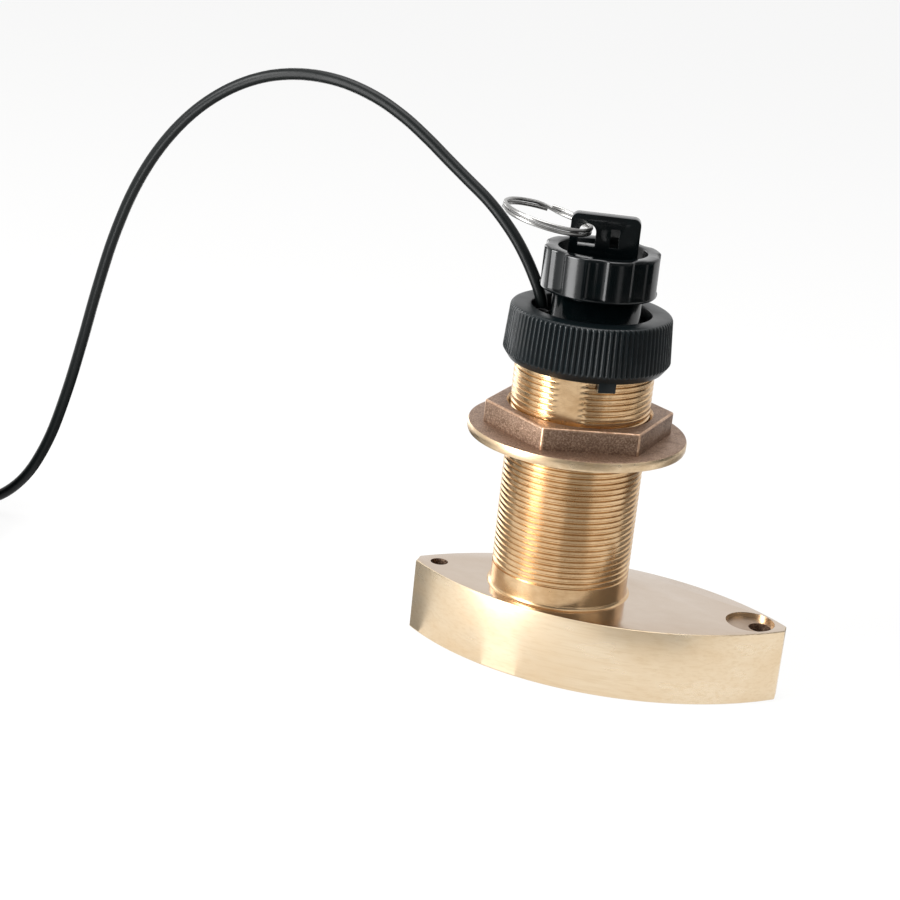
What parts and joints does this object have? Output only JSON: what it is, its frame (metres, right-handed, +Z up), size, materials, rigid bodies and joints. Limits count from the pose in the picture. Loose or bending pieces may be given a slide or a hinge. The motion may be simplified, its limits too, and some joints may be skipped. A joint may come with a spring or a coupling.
{
  "type": "through-hull sonar transducer",
  "caption": "Bronze through-hull sonar transducer with a removable paddlewheel insert, a lobed cap nut, a ribbed ring nut, a hull nut and a cable with its plug.",
  "frame": {"origin": "on the base's flat underside, in the middle of the base's length and width", "axes": "+Z up along the threaded stem, +X along the base towards its long end, away from the stem, +Y completing a right-handed frame"},
  "size_m": [0.4097, 0.1223, 0.2022],
  "materials": {
    "brushed_bronze": "satin brushed bronze",
    "cast_bronze": "sand-cast bronze with machined edges",
    "matt_black_nylon": "matt black",
    "gloss_black_abs": "gloss black",
    "grey_acetal": "satin dark grey",
    "black_rubber": "matt",
    "cable_jacket": "satin black",
    "stainless_steel": "bright",
    "brass": "turned",
    "ferrite": "ground",
    "black_urethane": "satin",
    "piezo_ceramic": "matt",
    "cork": "cork sheet",
    "nylon_strap": "satin"
  },
  "bodies": {
    "housing": {"housing": "brushed_bronze", "insert_sleeve": "gloss_black_abs", "sleeve_gasket": "black_rubber", "potting": "black_urethane", "ceramic_element": "piezo_ceramic", "cork_backing": "cork", "speed_sensor": "matt_black_nylon", "temperature_sensor": "brass", "signal_lead": "cable_jacket", "cable_gland": "black_rubber", "cable_lead": "cable_jacket", "cable_coil": "cable_jacket", "coil_tie_1": "nylon_strap", "coil_tie_2": "nylon_strap", "cable_tail": "cable_jacket", "plug_boot": "black_rubber", "plug_body": "matt_black_nylon", "plug_insert": "matt_black_nylon", "plug_pin_1": "brass", "plug_pin_2": "brass", "plug_pin_3": "brass", "plug_pin_4": "brass", "plug_pin_5": "brass"},
    "hull_nut": {"hull_nut": "cast_bronze"},
    "ring_nut": {"ring_nut": "matt_black_nylon"},
    "insert": {"insert_body": "gloss_black_abs", "insert_o_ring_1": "black_rubber", "insert_o_ring_2": "black_rubber", "insert_o_ring_3": "black_rubber", "paddlewheel_axle": "stainless_steel"},
    "cap_nut": {"cap_nut": "gloss_black_abs"},
    "pull_ring": {"pull_ring": "stainless_steel"},
    "paddlewheel": {"paddlewheel": "grey_acetal", "wheel_magnet_1": "ferrite", "wheel_magnet_2": "ferrite", "wheel_magnet_3": "ferrite", "wheel_magnet_4": "ferrite"},
    "plug_collar": {"plug_collar": "stainless_steel"}
  },
  "joints": [
    {"name": "hull_nut_travel", "type": "slide", "parent": "housing", "child": "hull_nut", "axis": [0, 0, 1], "range_m": [-0.049, 0.012]},
    {"name": "ring_nut_turn", "type": "hinge", "parent": "housing", "child": "ring_nut", "pos_m": [-0.0155, 0, 0.1242], "axis": [0, 0, 1], "continuous": true},
    {"name": "insert_lift", "type": "slide", "parent": "housing", "child": "insert", "axis": [0, 0, 1], "range_m": [0, 0.15]},
    {"name": "cap_nut_turn", "type": "hinge", "parent": "insert", "child": "cap_nut", "pos_m": [-0.0142, 0, 0.1486], "axis": [0, 0, 1], "continuous": true},
    {"name": "pull_ring_swing", "type": "hinge", "parent": "insert", "child": "pull_ring", "pos_m": [-0.01932, -0.0009, 0.1623], "axis": [-0.1736, 0.9848, 0], "range_deg": [-9, 175]},
    {"name": "paddlewheel_spin", "type": "hinge", "parent": "insert", "child": "paddlewheel", "pos_m": [-0.0142, 0, 0.0104], "axis": [0, 1, 0], "continuous": true},
    {"name": "plug_collar_turn", "type": "hinge", "parent": "housing", "child": "plug_collar", "pos_m": [-0.2217, -0.0731, 0.0097], "axis": [1, 0, 0], "continuous": true}
  ]
}
